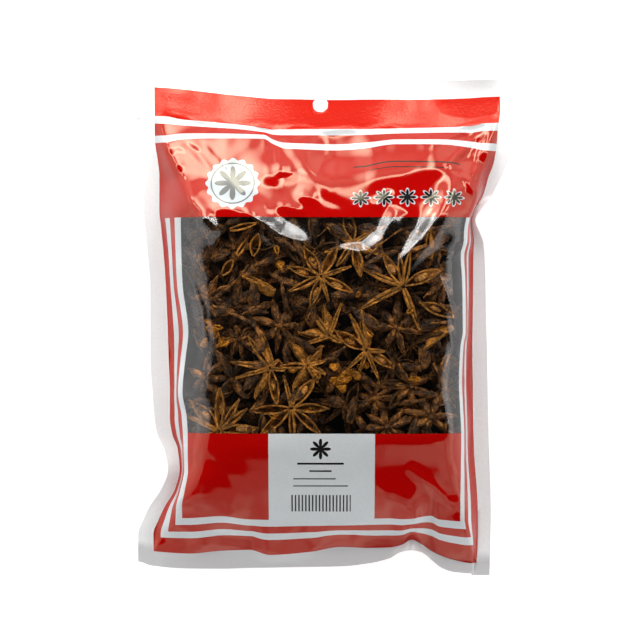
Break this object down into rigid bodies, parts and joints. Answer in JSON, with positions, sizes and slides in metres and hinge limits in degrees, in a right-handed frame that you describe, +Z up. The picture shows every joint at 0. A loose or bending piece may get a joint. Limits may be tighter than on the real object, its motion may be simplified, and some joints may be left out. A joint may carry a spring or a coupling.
{
  "type": "bag of star anise",
  "caption": "Sealed clear pouch of dried star anise, lying on its back, with a red printed frame, a window on the pods, a plain label and a hang hole in the header.",
  "frame": {"origin": "on the table, under the middle of the pouch", "axes": "+Z up out of the printed front, +Y along the pouch towards the header with the hang hole, +X across the pouch to the right of the printed front"},
  "size_m": [0.191, 0.256, 0.0497],
  "materials": {
    "printed_film": "glossy plastic film with opaque red and white print",
    "clear_film": "clear glossy plastic film",
    "star_anise": "dried, rough and matt, with smooth glossy seeds"
  },
  "bodies": {
    "root": {"star_anise_pouch": "printed_film"}
  },
  "joints": []
}
